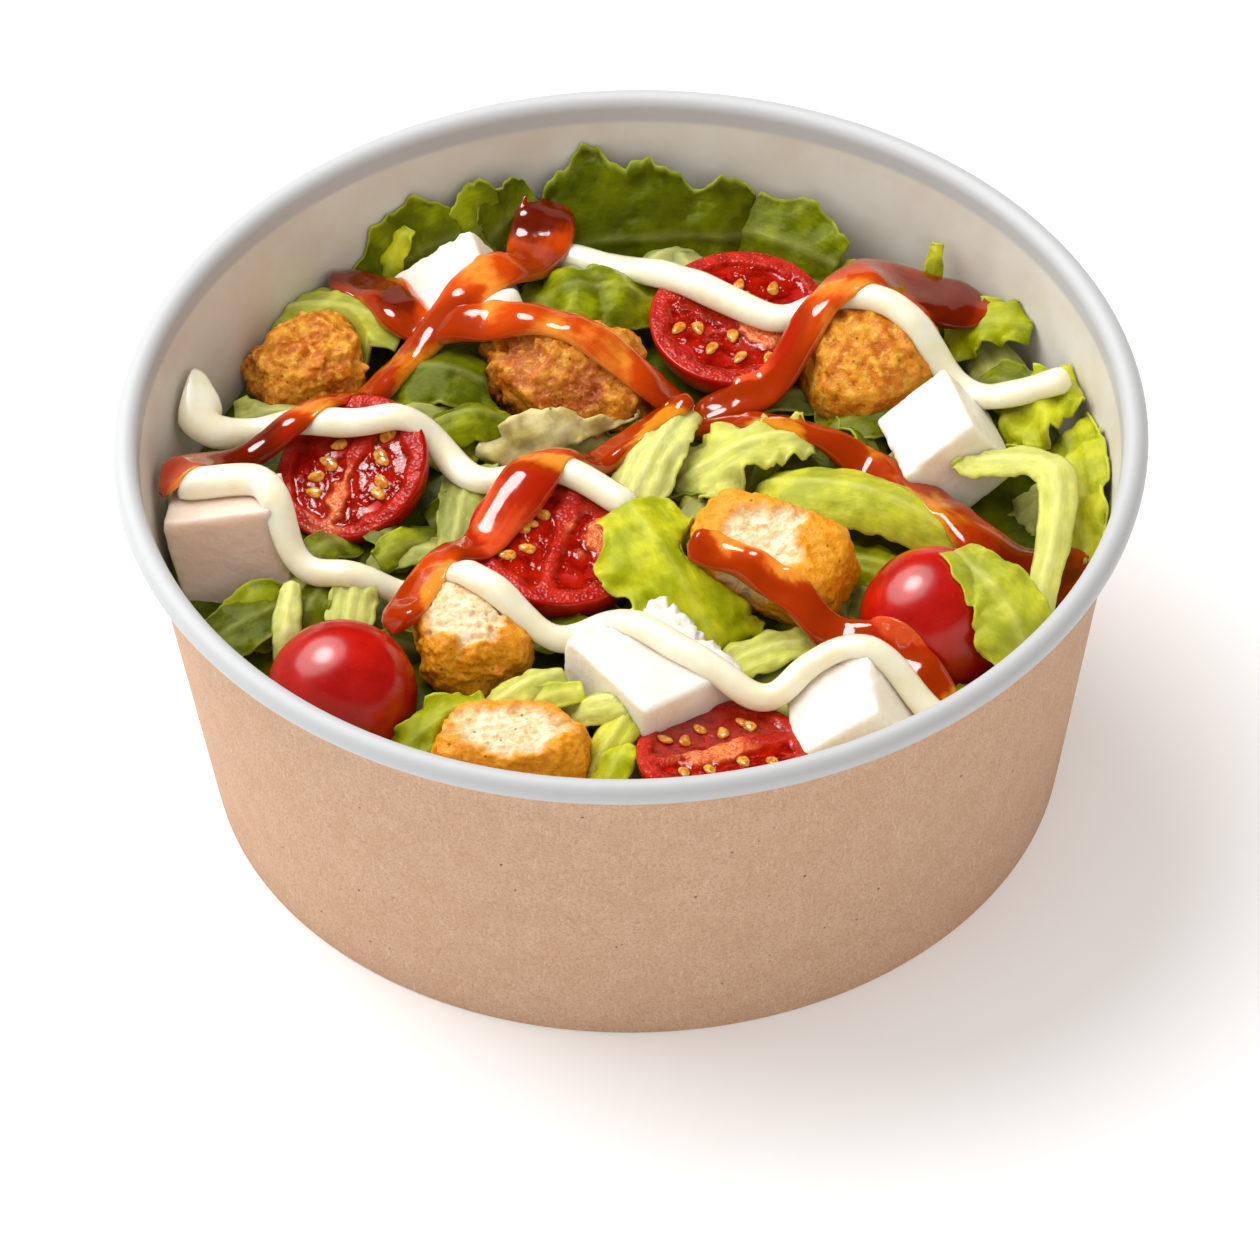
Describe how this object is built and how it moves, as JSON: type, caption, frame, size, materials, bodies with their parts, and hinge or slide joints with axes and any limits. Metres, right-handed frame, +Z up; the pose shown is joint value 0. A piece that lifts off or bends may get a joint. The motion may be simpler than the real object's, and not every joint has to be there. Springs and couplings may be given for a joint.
{
  "type": "crispy chicken salad",
  "caption": "Round kraft paper bowl filled with green lettuce, cherry tomatoes, crispy chicken pieces and white cheese cubes under strands of mayonnaise and red sauce.",
  "frame": {"origin": "middle of the bowl's foot, on the surface it stands on", "axes": "+Z up out of the bowl, -Y towards the side that the picture was taken from, +X to that view's right"},
  "size_m": [0.15, 0.15, 0.061],
  "materials": {
    "kraft_paper": "uncoated brown kraft paper outside, white coated paper inside and on the rolled rim",
    "white_paper": "satin white coated paper",
    "lettuce": "moist leaf with a soft gloss, lime to dark green",
    "tomato": "glossy red skin, wet cut faces with yellow seeds",
    "fried_chicken": "rough golden fried crust, pale meat where it is cut",
    "white_cheese": "soft white fresh cheese, slightly moist",
    "mayonnaise": "cream white glossy sauce",
    "red_sauce": "clear glossy red-orange sauce"
  },
  "bodies": {
    "root": {"bowl_wall": "kraft_paper", "bowl_base": "white_paper", "lettuce_heap": "lettuce", "tomato_half_1": "tomato", "tomato_half_2": "tomato", "tomato_half_3": "tomato", "tomato_half_4": "tomato", "chicken_1": "fried_chicken", "chicken_2": "fried_chicken", "chicken_3": "fried_chicken", "chicken_4": "fried_chicken", "chicken_5": "fried_chicken", "chicken_6": "fried_chicken", "cheese_1": "white_cheese", "cheese_2": "white_cheese", "cheese_3": "white_cheese", "cheese_4": "white_cheese", "cheese_5": "white_cheese", "tomato_whole_1": "tomato", "tomato_whole_2": "tomato"}
  },
  "joints": []
}
